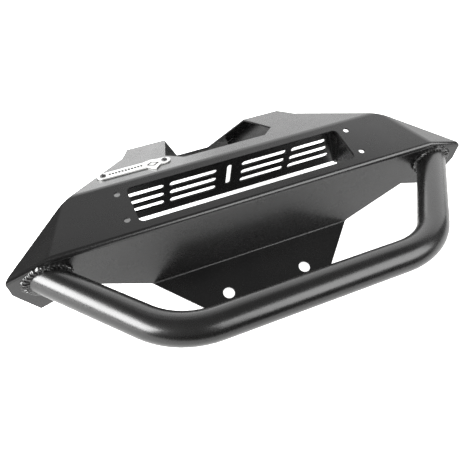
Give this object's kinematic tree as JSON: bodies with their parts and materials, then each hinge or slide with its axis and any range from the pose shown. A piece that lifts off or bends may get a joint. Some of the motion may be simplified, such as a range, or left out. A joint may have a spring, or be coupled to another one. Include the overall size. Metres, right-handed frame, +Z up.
{
  "type": "front grille guard",
  "caption": "Welded sheet-steel front guard with a light-bar opening, slotted vent panel, folded wings, bolt tab and a bent round-tube hoop.",
  "frame": {"origin": "centre of the bounding box's underside: the part lies on its back on a flat surface, resting on the bolt tab's front edge and the rear plate's lower edge", "axes": "+X to the right along the width, +Y from the hoop towards the rear plate, +Z up off the surface"},
  "size_m": [0.727, 0.4884, 0.1601],
  "materials": {
    "powder_coat": "satin black powder coat, fine texture",
    "tube_coat": "semi-gloss black powder coat",
    "weld_coat": "gloss black over weld beads",
    "badge_metal": "satin brushed",
    "fastener": "black oxide"
  },
  "bodies": {
    "root": {"front_shell": "powder_coat", "lower_plate": "powder_coat", "vent_panel": "powder_coat", "end_plate_left": "powder_coat", "end_plate_right": "powder_coat", "rear_plate": "powder_coat", "gusset_left": "powder_coat", "gusset_right": "powder_coat", "hoop_tube": "tube_coat", "hoop_weld_left": "weld_coat", "hoop_weld_right": "weld_coat", "face_seam_weld_1": "weld_coat", "face_seam_weld_2": "weld_coat", "face_seam_weld_3": "weld_coat", "face_seam_weld_4": "weld_coat", "wing_seam_weld_left": "weld_coat", "wing_seam_weld_right": "weld_coat", "rear_seam_weld_left": "weld_coat", "rear_seam_weld_right": "weld_coat", "gusset_weld_left": "weld_coat", "gusset_weld_right": "weld_coat", "end_plate_weld_left": "weld_coat", "end_plate_weld_right": "weld_coat", "vent_weld_left": "weld_coat", "vent_weld_right": "weld_coat", "badge_plate": "badge_metal", "badge_screw_left": "fastener", "badge_screw_right": "fastener", "badge_nut_left": "fastener", "badge_nut_right": "fastener"}
  },
  "joints": []
}
